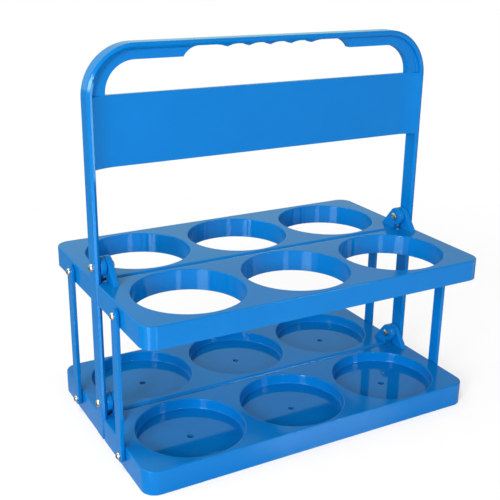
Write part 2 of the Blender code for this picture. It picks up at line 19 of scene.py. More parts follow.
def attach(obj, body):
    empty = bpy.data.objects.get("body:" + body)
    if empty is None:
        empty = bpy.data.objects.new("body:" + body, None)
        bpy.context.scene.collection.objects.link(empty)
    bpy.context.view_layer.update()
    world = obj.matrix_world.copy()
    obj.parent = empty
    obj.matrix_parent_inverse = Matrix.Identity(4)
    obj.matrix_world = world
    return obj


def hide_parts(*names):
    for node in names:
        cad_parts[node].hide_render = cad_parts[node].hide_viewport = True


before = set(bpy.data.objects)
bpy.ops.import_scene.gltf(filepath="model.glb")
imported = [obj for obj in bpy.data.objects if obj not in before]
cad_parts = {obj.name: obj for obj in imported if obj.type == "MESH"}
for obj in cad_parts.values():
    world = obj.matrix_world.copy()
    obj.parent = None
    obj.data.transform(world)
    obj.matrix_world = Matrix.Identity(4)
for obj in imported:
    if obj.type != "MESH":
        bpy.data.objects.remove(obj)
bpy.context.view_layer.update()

LOG = logging.getLogger("bottle_holder")

MM = 0.001
QUARTER_TURN = math.pi / 2
HALF_TURN = math.pi
FULL_TURN = 2 * math.pi
# Stands a drawing of (Y, Z) up, across X
ACROSS_X = Matrix(((0, 0, 1, 0), (1, 0, 0, 0), (0, 1, 0, 0), (0, 0, 0, 1)))
# Lays a piece that was turned about Z along X
ALONG_X = Matrix.Rotation(QUARTER_TURN, 4, "Y")
# Coordinates this close are the same, and a closed tip is a ring of this radius
TINY = 0.01 * MM
# Cutters run this far past the face that they cut through
OVERRUN = 1.0 * MM
# Edges that turn by more than this look crisp
SHARP_ANGLE = math.radians(32.0)
# Where a whole piece is softened, edges that turn by more than this are rounded
ROUNDED_ANGLE = math.radians(50.0)
# A face looks along an axis when its normal has more than this share of it
FACING = 0.9
PIN_HOLE_FACETS = 40
WHITE = (1.0, 1.0, 1.0, 1.0)
BLACK = (0.0, 0.0, 0.0, 1.0)
# Numbers of a mix node's inputs when it mixes colours
SHARE, FIRST, SECOND = 0, 6, 7

Point = tuple[float, float, float]
Colour = tuple[float, float, float, float]
Span = tuple[float, float]
Rings = list[Span]
Piece = bpy.types.Object
Finish = bpy.types.Material
Tree = bpy.types.NodeTree
Node = bpy.types.Node
Socket = bpy.types.NodeSocket
Test = Callable[..., bool]


class Place(Enum):
    """A place on the holder, which the CAD nodes name in small letters."""

    @property
    def word(self) -> str:
        """Name of the place as used in the CAD nodes."""
        return self.name.lower()


class Level(Place):
    """The two storeys of trays, counted from the floor."""

    UPPER = 2
    LOWER = 1


class Row(Place):
    """The half of the holder that a tray or a link is on, with its sign along Y."""

    FRONT = -1
    BACK = 1


class Side(Place):
    """The end of the holder that a link or a pin is on, with its sign along X."""

    LEFT = -1
    RIGHT = 1

    @property
    def turn(self) -> Matrix:
        """Turn about Z that brings a piece of the left end to this one."""
        return Matrix.Rotation(0 if self is Side.LEFT else HALF_TURN, 4, "Z")


class Part(Enum):
    """The parts of a mesh that can be picked."""

    VERTICES = "VERT"
    EDGES = "EDGE"
    FACES = "FACE"


# Modelling steps


def deselect_all() -> None:
    """Leaves object mode with nothing selected."""
    bpy.ops.object.select_all(action="DESELECT")


def activate(piece: Piece) -> None:
    """Selects one piece alone and makes it active.

    Args:
        piece: The piece.
    """
    deselect_all()
    piece.select_set(True)
    bpy.context.view_layer.objects.active = piece


def named(name: str) -> Piece:
    """Names the primitive that was just added and applies its place to its mesh.

    Args:
        name: Name for the piece and its mesh.

    Returns:
        The new piece, at the origin and unscaled.
    """
    piece = bpy.context.view_layer.objects.active
    piece.name = name
    piece.data.name = name
    activate(piece)
    bpy.ops.object.transform_apply(location=True, rotation=True, scale=True)
    return piece


def block(name: str, low: Sequence[float], high: Sequence[float]) -> Piece:
    """Adds a box between two corners, as the start of a piece or as a cutter.

    Args:
        name: Name for the box.
        low: Corner with the smallest coordinates.
        high: Corner with the largest coordinates.

    Returns:
        The box.
    """
    deselect_all()
    middle = (Vector(low) + Vector(high)) / 2
    size = Vector(high) - Vector(low)
    bpy.ops.mesh.primitive_cube_add(size=1.0, location=middle, scale=size)
    return named(name)


@contextmanager
def editing(piece: Piece) -> Iterator[None]:
    """Opens a piece in edit mode with nothing of it selected.

    Args:
        piece: The piece.

    Yields:
        Nothing; the piece is back in object mode afterwards.
    """
    activate(piece)
    bpy.ops.object.mode_set(mode="EDIT")
    bpy.ops.mesh.select_all(action="DESELECT")
    yield
    bpy.ops.object.mode_set(mode="OBJECT")


def pick(piece: Piece, part: Part, test: Test) -> None:
    """Selects the parts of a mesh that pass a test.

    Args:
        piece: Piece in edit mode.
        part: What is picked.
        test: Takes a vertex's place, the places of an edge's ends, or a face's middle and normal.
    """
    bpy.ops.mesh.select_mode(type=part.value)
    shape = bmesh.from_edit_mesh(piece.data)
    if part is Part.VERTICES:
        found = [(vertex, (vertex.co,)) for vertex in shape.verts]
    elif part is Part.EDGES:
        found = [(edge, (edge.verts[0].co, edge.verts[1].co)) for edge in shape.edges]
    else:
        found = [(face, (face.calc_center_median(), face.normal)) for face in shape.faces]
    for item, places in found:
        item.select_set(test(*places))
    bmesh.update_edit_mesh(piece.data)


def near(first: float, second: float) -> bool:
    """Whether two coordinates are the same."""
    return abs(first - second) < TINY


def edge_at(same: str = "", **places: float) -> Test:
    """Test for edges whose ends agree on the axes in same and lie at the given places."""
    return lambda a, b: all(near(getattr(a, axis), getattr(b, axis)) for axis in same) and all(
        near(getattr(end, axis), place) for axis, place in places.items() for end in (a, b)
    )


def round_edges(piece: Piece, test: Test, radius: float, facets: int) -> None:
    """Rounds the edges that pass a test.

    Args:
        piece: Piece to round.
        test: Says whether an edge is taken, from the places of its ends.
        radius: Radius of the rounded edge.
        facets: Number of facets across it.
    """
    with editing(piece):
        pick(piece, Part.EDGES, test)
        bpy.ops.mesh.bevel(offset=radius, segments=facets, affect="EDGES", clamp_overlap=False)


def modify(piece: Piece, kind: str, **settings: object) -> None:
    """Adds a modifier, sets it and applies it.

    Args:
        piece: Piece to change.
        kind: Type of the modifier.
        **settings: Its settings by name.
    """
    activate(piece)
    bpy.ops.object.modifier_add(type=kind)
    modifier = piece.modifiers[-1]
    for key, value in settings.items():
        setattr(modifier, key, value)
    bpy.ops.object.modifier_apply(modifier=modifier.name)


def soften(piece: Piece, radius: float, facets: int) -> None:
    """Rounds every sharp edge of a piece by the same radius, with some facets across."""
    modify(
        piece, "BEVEL", width=radius, segments=facets, limit_method="ANGLE",
        angle_limit=ROUNDED_ANGLE, use_clamp_overlap=True, miter_outer="MITER_ARC",
    )


def discard(piece: Piece) -> None:
    """Removes a piece and its mesh."""
    mesh = piece.data
    bpy.data.objects.remove(piece, do_unlink=True)
    bpy.data.meshes.remove(mesh)


def boolean(piece: Piece, tools: Sequence[Piece], operation: str) -> None:
    """Joins tools to a piece, or cuts them from it, and removes them.

    Args:
        piece: Piece to change.
        tools: Closed solids.
        operation: UNION or DIFFERENCE.
    """
    for tool in tools:
        modify(piece, "BOOLEAN", operation=operation, solver="EXACT", object=tool)
        discard(tool)


def turned(name: str, profile: Rings, facets: int, place: Matrix | None = None) -> Piece:
    """Turns a piece about the Z axis: a circle that is extruded and resized ring by ring.

    Args:
        name: Name for the piece.
        profile: (height, radius) of each ring; a first or last radius of 0 is a closed tip.
        facets: Number of facets round the piece.
        place: Where the finished piece goes, if not upright on the origin.

    Returns:
        The closed piece.
    """
    deselect_all()
    stations = [(height, max(radius, TINY)) for height, radius in profile]
    start_z, last_radius = stations[0]
    bpy.ops.mesh.primitive_circle_add(
        vertices=facets, radius=last_radius, fill_type="NGON", location=(0, 0, start_z)
    )
    piece = named(name)
    with editing(piece):
        bpy.ops.mesh.select_mode(type="EDGE")
        bpy.ops.mesh.select_all(action="SELECT")
        last_z = start_z
        for height, radius in stations[1:]:
            rise = (0, 0, height - last_z)
            bpy.ops.mesh.extrude_edges_move(TRANSFORM_OT_translate={"value": rise})
            share = radius / last_radius
            bpy.ops.transform.resize(value=(share, share, 1), center_override=(0, 0, height))
            last_z, last_radius = height, radius
        bpy.ops.mesh.edge_face_add()
        bpy.ops.mesh.select_all(action="SELECT")
        bpy.ops.mesh.normals_make_consistent(inside=False)
    return piece if place is None else shift(piece, place)


def shift(piece: Piece, matrix: Matrix) -> Piece:
    """Places a piece by a matrix and applies that place to its mesh.

    Args:
        piece: Piece at the origin.
        matrix: Where it goes.

    Returns:
        The same piece.
    """
    piece.matrix_world = matrix
    activate(piece)
    bpy.ops.object.transform_apply(location=True, rotation=True, scale=True)
    return piece


def pin_hole(radius: float, low_x: float, high_x: float, y: float, z: float) -> Piece:
    """Cutter of a round hole along X, with its axis at y and z."""
    place = Matrix.Translation((0, y, z)) @ ALONG_X
    return turned("pin_hole", [(low_x, radius), (high_x, radius)], PIN_HOLE_FACETS, place)


def both_ends(inner_x: float, outer_x: float) -> list[Span]:
    """Spans along X, left and right, between two distances from the middle."""
    return [(-outer_x, -inner_x), (inner_x, outer_x)]


def twin(piece: Piece, name: str, matrix: Matrix) -> Piece:
    """Copies a piece with its own mesh and places the copy.

    Args:
        piece: Piece to copy.
        name: Name for the copy.
        matrix: Where it goes, counted from the piece.

    Returns:
        The copy.
    """
    activate(piece)
    bpy.ops.object.duplicate(linked=False)
    copy = bpy.context.view_layer.objects.active
    copy.name = name
    copy.data.name = name
    return shift(copy, matrix)


def arc_steps(radius: float, count: int) -> Rings:
    """Pairs of (inset, setback) round a quarter circle, from a face to its side."""
    angles = [QUARTER_TURN * index / count for index in range(count + 1)]
    return [(radius * (1 - math.sin(turn)), radius * (1 - math.cos(turn))) for turn in angles]


def dome(tip: float, height: float, radius: float, count: int) -> Rings:
    """Rings of a domed head from its tip downwards.

    Args:
        tip: Height of the tip.
        height: Height of the dome.
        radius: Radius of its rim.
        count: Number of steps.

    Returns:
        (height, radius) of each ring, from the tip to the rim.
    """
    ball = (radius ** 2 + height ** 2) / (2 * height)
    reach = math.acos((ball - height) / ball)
    angles = [reach * step / count for step in range(count + 1)]
    return [(tip - ball * (1 - math.cos(angle)), ball * math.sin(angle)) for angle in angles]


# Finishes


def linear(hex_code: str) -> Colour:
    """Turns an sRGB hex colour into linear values.

    Args:
        hex_code: Six hex digits.

    Returns:
        Linear red, green, blue and an alpha of 1.
    """
    values = []
    for start in (0, 2, 4):
        share = int(hex_code[start:start + 2], 16) / 255
        values.append(share / 12.92 if share <= 0.04045 else ((share + 0.055) / 1.055) ** 2.4)
    return (*values, 1.0)


def set_node(node: Node, values: dict[str | int, object]) -> None:
    """Gives a node its settings and links.

    Args:
        node: The node.
        values: Its properties by name, and its inputs by name or number. An input takes a
            value, an output to join, or a node to join by its first output in use.
    """
    for key, value in values.items():
        if isinstance(value, Node):
            value = next(output for output in value.outputs if output.enabled)
        if isinstance(value, Socket):
            node.id_data.links.new(value, node.inputs[key])
        elif isinstance(key, int) or key in node.inputs:
            node.inputs[key].default_value = value
        else:
            setattr(node, key, value)


def add_node(tree: Tree, kind: str, values: dict[str | int, object] | None = None) -> Node:
    """Adds a node with its settings and links.

    Args:
        tree: Node tree to add to.
        kind: Type of the node, without ShaderNode.
        values: Its settings and links, as set_node takes them.

    Returns:
        The node.
    """
    node = tree.nodes.new("ShaderNode" + kind)
    set_node(node, values or {})
    return node


@dataclass(frozen=True)
class GlossPolypropylene:
    """Injection-moulded polypropylene from a polished mould.

    It has a deep even blue and a glossy skin. The skin waves a little where the melt shrank
    behind it, and the pigment is a touch uneven along the flow.
    """

    name: str
    roughness: float
    dull_roughness: float
    blue: str = "0474C2"
    deep_blue: str = "036EBA"
    ior: float = 1.49
    specular_level: float = 0.27
    sheen_blue: str = "CDF0FF"
    flow_scale: float = 1 / (45 * MM)
    flow_low: float = 0.35
    flow_high: float = 0.75
    sink_scale: float = 1 / (14 * MM)
    sink_depth: float = 0.012 * MM

    def build(self) -> Finish:
        """Makes the material.

        Returns:
            The material.
        """
        finish = bpy.data.materials.new(self.name)
        finish.use_nodes = True
        tree = finish.node_tree
        place = add_node(tree, "TexCoord").outputs["Object"]
        # Uneven pigment: broad soft clouds, as wide as the melt front
        flow = add_node(tree, "TexNoise", {
            "Vector": place, "Scale": self.flow_scale, "Detail": 2.0, "Roughness": 0.5,
        })
        colour = add_node(tree, "Mix", {
            "data_type": "RGBA", SHARE: flow, FIRST: linear(self.blue),
            SECOND: linear(self.deep_blue),
        })
        # The same clouds dull the gloss a little
        gloss = add_node(tree, "MapRange", {
            "Value": flow, "From Min": self.flow_low, "From Max": self.flow_high,
            "To Min": self.roughness, "To Max": self.dull_roughness,
        })
        # Sink marks: hollows of a hundredth of a millimetre that bend the reflections
        sink = add_node(tree, "TexNoise", {
            "Vector": place, "Scale": self.sink_scale, "Detail": 1.0, "Roughness": 0.4,
        })
        bump = add_node(tree, "Bump", {
            "Height": sink, "Strength": 1.0, "Distance": self.sink_depth,
        })
        set_node(tree.nodes["Principled BSDF"], {
            "IOR": self.ior, "Specular IOR Level": self.specular_level,
            "Specular Tint": linear(self.sheen_blue),
            "Base Color": colour, "Roughness": gloss, "Normal": bump,
        })
        return finish


@dataclass(frozen=True)
class PlatedSteel:
    """Bright nickel-plated steel, headed in a die and barrel-polished.

    It mirrors its surroundings, with faint fine scratches that blur the highlights.
    """

    name: str = "bright_plated_steel"
    silver: str = "C9C6C0"
    roughness: float = 0.14
    scratched_roughness: float = 0.28
    scratch_scale: float = 1 / (0.6 * MM)
    scratch_stretch: Point = (1.0, 0.25, 1.0)
    scratch_low: float = 0.4
    scratch_high: float = 0.7
    dent_depth: float = 0.02 * MM

    def build(self) -> Finish:
        """Makes the material.

        Returns:
            The material.
        """
        finish = bpy.data.materials.new(self.name)
        finish.use_nodes = True
        tree = finish.node_tree
        place = add_node(tree, "TexCoord").outputs["Object"]
        # Scratches: stretched noise, drawn coarser than real so that it shows
        stretched = add_node(tree, "Mapping", {"Vector": place, "Scale": self.scratch_stretch})
        scratch = add_node(tree, "TexNoise", {
            "Vector": stretched, "Scale": self.scratch_scale, "Detail": 4.0, "Roughness": 0.6,
        })
        gloss = add_node(tree, "MapRange", {
            "Value": scratch, "From Min": self.scratch_low, "From Max": self.scratch_high,
            "To Min": self.roughness, "To Max": self.scratched_roughness,
        })
        bump = add_node(tree, "Bump", {
            "Height": scratch, "Strength": 0.6, "Distance": self.dent_depth,
        })
        set_node(tree.nodes["Principled BSDF"], {
            "Base Color": linear(self.silver), "Metallic": 1.0, "Roughness": gloss,
            "Normal": bump,
        })
        return finish


def dress(piece: Piece, finish: Finish) -> None:
    """Gives a piece its finish and its shading, smooth but for its sharp edges.

    Args:
        piece: Finished piece.
        finish: Its material.
    """
    piece.data.materials.clear()
    piece.data.materials.append(finish)
    activate(piece)
    bpy.ops.object.shade_smooth_by_angle(angle=SHARP_ANGLE)
    modify(piece, "WEIGHTED_NORMAL", keep_sharp=True, weight=100)


def polish(piece: Piece, test: Test, finish: Finish) -> None:
    """Gives the faces that pass a test a second finish.

    Args:
        piece: Piece that already has its main finish.
        test: Says whether a face is taken, from its middle and its normal.
        finish: Material for those faces.
    """
    piece.data.materials.append(finish)
    piece.active_material_index = len(piece.data.materials) - 1
    with editing(piece):
        pick(piece, Part.FACES, test)
        bpy.ops.object.material_slot_assign()


def settle(piece: Piece, node: str, body: str) -> None:
    """Sets a piece on its body in place of its CAD node and reports it.

    Args:
        piece: Finished piece.
        node: CAD node that it stands for.
        body: Body that carries it.
    """
    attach(piece, body)
    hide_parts(node)
    LOG.info("%s stands for %s on %s: %d faces", piece.name, node, body, len(piece.data.polygons))


# Mouldings


@dataclass
class BottleRows:
    """Plan sizes that the trays, links and pins share."""

    hole_radius: float = 45.0 * MM
    pitch: float = 97.0 * MM
    row_y: float = 51.25 * MM
    half_length: float = 155.5 * MM
    inner_edge_y: float = 0.6 * MM
    upper_pivot_z: float = 151.7 * MM
    lower_pivot_z: float = 31.7 * MM
    pivot_rise: float = 11.2 * MM
    rivet_depth: float = 9.2 * MM

    def hole_centres(self) -> list[float]:
        """X of the three bottles of a row."""
        return [-self.pitch, 0.0, self.pitch]

    def hole_places(self) -> list[Matrix]:
        """Places of the three bottles of the front row."""
        return [Matrix.Translation((x, -self.row_y, 0)) for x in self.hole_centres()]

    def pivot_z(self, level: Level) -> float:
        """Height of a level's hinge axis."""
        return self.upper_pivot_z if level is Level.UPPER else self.lower_pivot_z

    def rivet_z(self, level: Level) -> float:
        """Height of a level's rivets."""
        return self.pivot_z(level) - self.pivot_rise - self.rivet_depth


@dataclass
class HandleFrame:
    """The tall loop: rim and legs, thin web with the finger grip, and the wide panel."""

    rows: BottleRows
    half_width: float = 156.3 * MM
    top_z: float = 323.3 * MM
    foot_z: float = 1.0 * MM
    bow_radius: float = 40.0 * MM
    bow_facets: int = 24
    rim_thickness: float = 4.6 * MM
    rim_depth: float = 16.0 * MM
    rim_edge: float = 0.5 * MM
    crown_width: float = 2.2 * MM
    crown_drop: float = 1.43 * MM
    cove_radius: float = 2.0 * MM
    cove_facets: int = 5
    cove_start: float = 76.0 * MM
    # The cove stops short of a feather edge, bites into the web and leaves the middle free
    cove_blunt: float = 0.3 * MM
    cove_bite: float = 0.05 * MM
    cove_margin: float = 0.5 * MM
    web_depth: float = 6.4 * MM
    web_side: float = 11.2 * MM
    web_under_z: float = 310.6 * MM
    web_edge: float = 0.9 * MM
    opening_corner: float = 24.2 * MM
    panel_low_z: float = 230.6 * MM
    panel_high_z: float = 285.4 * MM
    panel_thickness: float = 4.0 * MM
    panel_edge: float = 0.5 * MM
    edge_facets: int = 3
    sweep_length: float = 20.3 * MM
    sweep_depth: float = 5.5 * MM
    sweep_steps: int = 12
    scallops: int = 4
    scallop_pitch: float = 19.4 * MM
    scallop_depth: float = 2.0 * MM
    scallop_facets: int = 128
    cusp_z: float = 316.4 * MM
    shoulder_rise: float = 12.1 * MM
    shoulder_end: float = 63.0 * MM
    ramp_radius: float = 16.0 * MM
    ramp_reach: float = 24.0 * MM
    ramp_facets: int = 14
    pin_hole_radius: float = 2.8 * MM

    def plate(self, name: str, half: float, low_z: float, high_z: float, corner: float,
              depth: float) -> Piece:
        """Plate in the plane of the bow, with its two upper corners rounded.

        Args:
            name: Name for the plate.
            half: Half of its width.
            low_z: Height of its lower edge.
            high_z: Height of its upper edge.
            corner: Radius of its upper corners.
            depth: Size along Y.

        Returns:
            The plate.
        """
        plate = block(name, (-half, -depth / 2, low_z), (half, depth / 2, high_z))
        round_edges(plate, edge_at("x", z=high_z), corner, self.bow_facets)
        return plate

    def bow_plate(self, name: str, inset: float, low_z: float, depth: float) -> Piece:
        """Plate with the outline of the bow, or one that lies inside it by the inset."""
        half, high_z = self.half_width - inset, self.top_z - inset
        return self.plate(name, half, low_z, high_z, self.bow_radius - inset, depth)

    def rim(self) -> Piece:
        """Deep rim of the bow, which runs down as the legs.

        Returns:
            The rim, whose faces slope down to both of their edges.
        """
        face_y = self.rim_depth / 2
        low_y = face_y - self.crown_width
        edge_y = face_y - self.crown_drop
        feet = edge_at(z=self.foot_z)

        def outline(y: float) -> Test:
            """Test for the outline edges at one depth, without those of the feet."""
            return lambda a, b: near(abs(a.y), y) and near(a.y, b.y) and not feet(a, b)

        rim = self.bow_plate("handle_frame_moulding", 0, self.foot_z, self.rim_depth)
        void = self.bow_plate(
            "rim_void", self.rim_thickness, self.foot_z - OVERRUN, self.rim_depth + 2 * OVERRUN
        )
        boolean(rim, [void], "DIFFERENCE")
        # The slopes draw the light stripe down each leg
        with editing(rim):
            pick(rim, Part.EDGES, outline(face_y))
            bpy.ops.mesh.bevel(
                offset=self.crown_width, segments=1, affect="EDGES", clamp_overlap=False
            )
            pick(rim, Part.VERTICES, lambda place: near(abs(place.y), low_y))
            bpy.ops.transform.resize(value=(1, edge_y / low_y, 1), center_override=(0, 0, 0))
        round_edges(rim, outline(edge_y), self.rim_edge, self.edge_facets)
        return rim

    def lower_room(self) -> Piece:
        """Cutter of everything below the web's root, which lies just inside the panel.

        Returns:
            The cutter.
        """
        reach = self.half_width + OVERRUN
        root_z = self.panel_high_z - OVERRUN
        return block("lower_room", (-reach, -self.rim_depth, 0), (reach, self.rim_depth, root_z))

    def cove(self) -> Piece:
        """Hollow rounding in the corner between the rim and the web, beside the grip.

        Returns:
            The cove, rooted a quarter of the wall deep in the rim.
        """
        root = self.rim_thickness - self.rim_thickness / 4
        low_z = self.panel_low_z
        depth = self.web_depth + 2 * self.cove_radius - self.cove_blunt
        cove = self.bow_plate("cove", root, low_z, depth)
        floor_y = self.web_depth / 2 - self.cove_bite
        cutters = []
        for sign in (-1, 1):
            pocket = self.bow_plate("pocket", self.rim_thickness, low_z - OVERRUN, self.rim_depth)
            shift(pocket, Matrix.Translation((0, sign * (floor_y + self.rim_depth / 2), 0)))
            round_edges(pocket, edge_at(y=sign * floor_y), self.cove_radius, self.cove_facets)
            cutters.append(pocket)
        margin = self.rim_thickness + self.cove_radius + self.cove_margin
        cutters.append(self.bow_plate("middle", margin, low_z - OVERRUN, self.rim_depth))
        cutters.append(block(
            "grip_room", (-self.cove_start, -self.rim_depth, low_z - 2 * OVERRUN),
            (self.cove_start, self.rim_depth, self.top_z),
        ))
        cutters.append(self.lower_room())
        boolean(cove, cutters, "DIFFERENCE")
        return cove

    def grip_cutters(self) -> list[Piece]:
        """Cutters of the scallops, the shoulders beside them and the ramps at the ends.

        Returns:
            The cutters.
        """
        depth = self.web_depth + 2 * OVERRUN
        scallop_top = self.cusp_z + self.scallop_depth
        half_pitch = self.scallop_pitch / 2
        start = self.scallops * half_pitch + self.shoulder_rise
        end = self.shoulder_end + self.ramp_radius

        def hollow(half: float) -> float:
            """Radius of a hollow as deep as a scallop, from half of its width."""
            return (half ** 2 + self.scallop_depth ** 2) / (2 * self.scallop_depth)

        rounds = []
        for index in range(self.scallops):
            x = (index - (self.scallops - 1) / 2) * self.scallop_pitch
            rounds.append((x, hollow(half_pitch)))
        for sign in (-1, 1):
            rounds.append((sign * start, hollow(self.shoulder_rise)))
        cutters = []
        for x, radius in rounds:
            span = [(-depth / 2, radius), (depth / 2, radius)]
            place = Matrix.Translation((x, 0, scallop_top - radius))
            place @= Matrix.Rotation(QUARTER_TURN, 4, "X")
            cutters.append(turned("scallop", span, self.scallop_facets, place))
        low_z = scallop_top - self.ramp_reach
        for sign in (-1, 1):
            low_x, high_x = sorted((sign * start, sign * end))
            ramp = block("ramp", (low_x, -depth / 2, low_z), (high_x, depth / 2, scallop_top))
            outer_top = edge_at(x=sign * end, z=scallop_top)
            round_edges(ramp, outer_top, self.ramp_radius, self.ramp_facets)
            cutters.append(ramp)
        return cutters

    def web(self) -> Piece:
        """Thin web inside the rim, with the hand opening and the scalloped finger grip.

        Returns:
            The web, rooted in the middle of the rim's wall.
        """
        low_z = self.top_z - self.bow_radius - OVERRUN
        web = self.bow_plate("web", self.rim_thickness / 2, low_z, self.web_depth)
        opening = self.plate(
            "hand_opening", self.half_width - self.rim_thickness - self.web_side,
            self.panel_high_z - 3 * OVERRUN, self.web_under_z, self.opening_corner,
            self.web_depth + 2 * OVERRUN,
        )
        boolean(web, [self.lower_room(), opening] + self.grip_cutters(), "DIFFERENCE")
        soften(web, self.web_edge, self.edge_facets)
        return web

    def panel(self) -> Piece:
        """Wide flat panel, whose ends sweep out towards the faces of the rim.

        Returns:
            The panel, rooted in the middle of the rim's wall.
        """
        half = self.panel_thickness / 2
        flat_x = self.half_width - self.rim_thickness / 2 - self.sweep_length
        panel = block(
            "panel", (-flat_x, -half, self.panel_low_z), (flat_x, half, self.panel_high_z)
        )
        for sign in (-1, 1):
            run = (sign * self.sweep_length / self.sweep_steps, 0, 0)
            with editing(panel):
                pick(panel, Part.FACES, lambda middle, normal, s=sign: normal.x * s > FACING)
                last = half
                for step in range(1, self.sweep_steps + 1):
                    depth = half + self.sweep_depth * (step / self.sweep_steps) ** 2
                    bpy.ops.mesh.extrude_region_move(TRANSFORM_OT_translate={"value": run})
                    bpy.ops.transform.resize(value=(1, depth / last, 1), center_override=(0, 0, 0))
                    last = depth
        soften(panel, self.panel_edge, self.edge_facets)
        return panel

    def build(self, finish: Finish) -> None:
        """Builds the frame, drills its four hinge holes and settles it.

        Args:
            finish: Plastic of the moulding.
        """
        moulding = self.rim()
        boolean(moulding, [self.web(), self.cove(), self.panel()], "UNION")
        inner = self.half_width - self.rim_thickness - OVERRUN
        spans = both_ends(inner, self.half_width + OVERRUN)
        holes = []
        for level in Level:
            pivot_z = self.rows.pivot_z(level)
            holes += [pin_hole(self.pin_hole_radius, *span, 0, pivot_z) for span in spans]
        boolean(moulding, holes, "DIFFERENCE")
        dress(moulding, finish)
        settle(moulding, "handle_frame", "handle")


